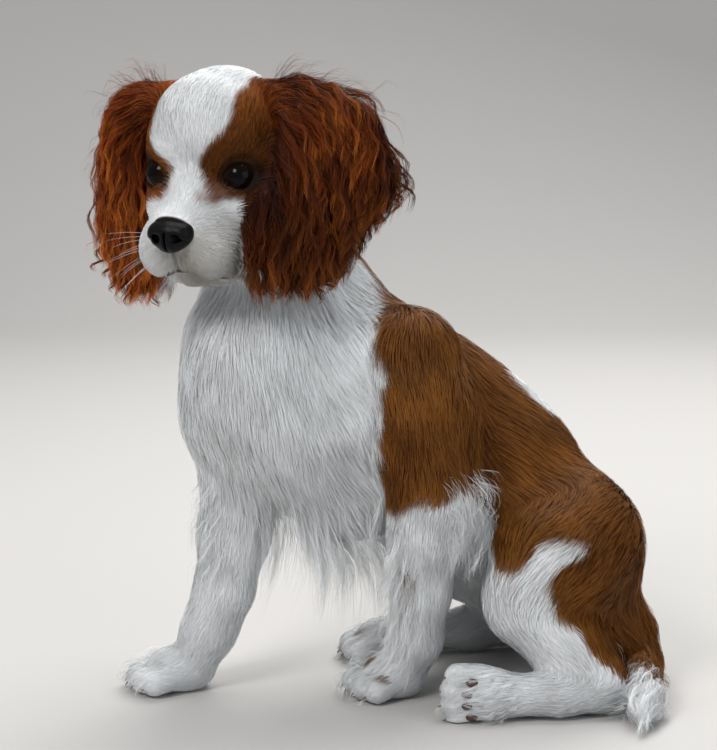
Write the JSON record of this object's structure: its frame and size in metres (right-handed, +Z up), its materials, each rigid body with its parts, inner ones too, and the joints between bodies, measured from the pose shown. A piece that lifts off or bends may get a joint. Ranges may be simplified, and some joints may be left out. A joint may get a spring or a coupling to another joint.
{
  "type": "cavalier king charles spaniel",
  "caption": "Young spaniel sitting upright with its head turned, white and chestnut long coat and hanging wavy ears, as a still life-size figure.",
  "frame": {"origin": "on the floor, under the middle of the figure's bounding box", "axes": "+Z up; the trunk faces roughly -Y, and the figure's left side is towards +X"},
  "size_m": [0.26, 0.3148, 0.3675],
  "materials": {
    "white_coat": "silky long hair",
    "chestnut_coat": "silky long hair",
    "eye": "wet gloss",
    "nose_leather": "moist, fine-grained"
  },
  "bodies": {
    "root": {"head": "chestnut_coat", "muzzle": "white_coat", "lower_jaw": "white_coat", "nose": "nose_leather", "eye_left": "eye", "eye_right": "eye", "ear_left": "chestnut_coat", "ear_right": "chestnut_coat", "neck": "white_coat", "chest": "white_coat", "loin": "chestnut_coat", "rump": "chestnut_coat", "tail": "chestnut_coat", "tail_tip": "white_coat", "upper_arm_left": "chestnut_coat", "forearm_left": "white_coat", "forepaw_left": "white_coat", "upper_arm_right": "white_coat", "forearm_right": "white_coat", "forepaw_right": "white_coat", "thigh_left": "white_coat", "shank_left": "white_coat", "hind_foot_left": "white_coat", "thigh_right": "white_coat", "shank_right": "white_coat", "hind_foot_right": "white_coat"}
  },
  "joints": []
}
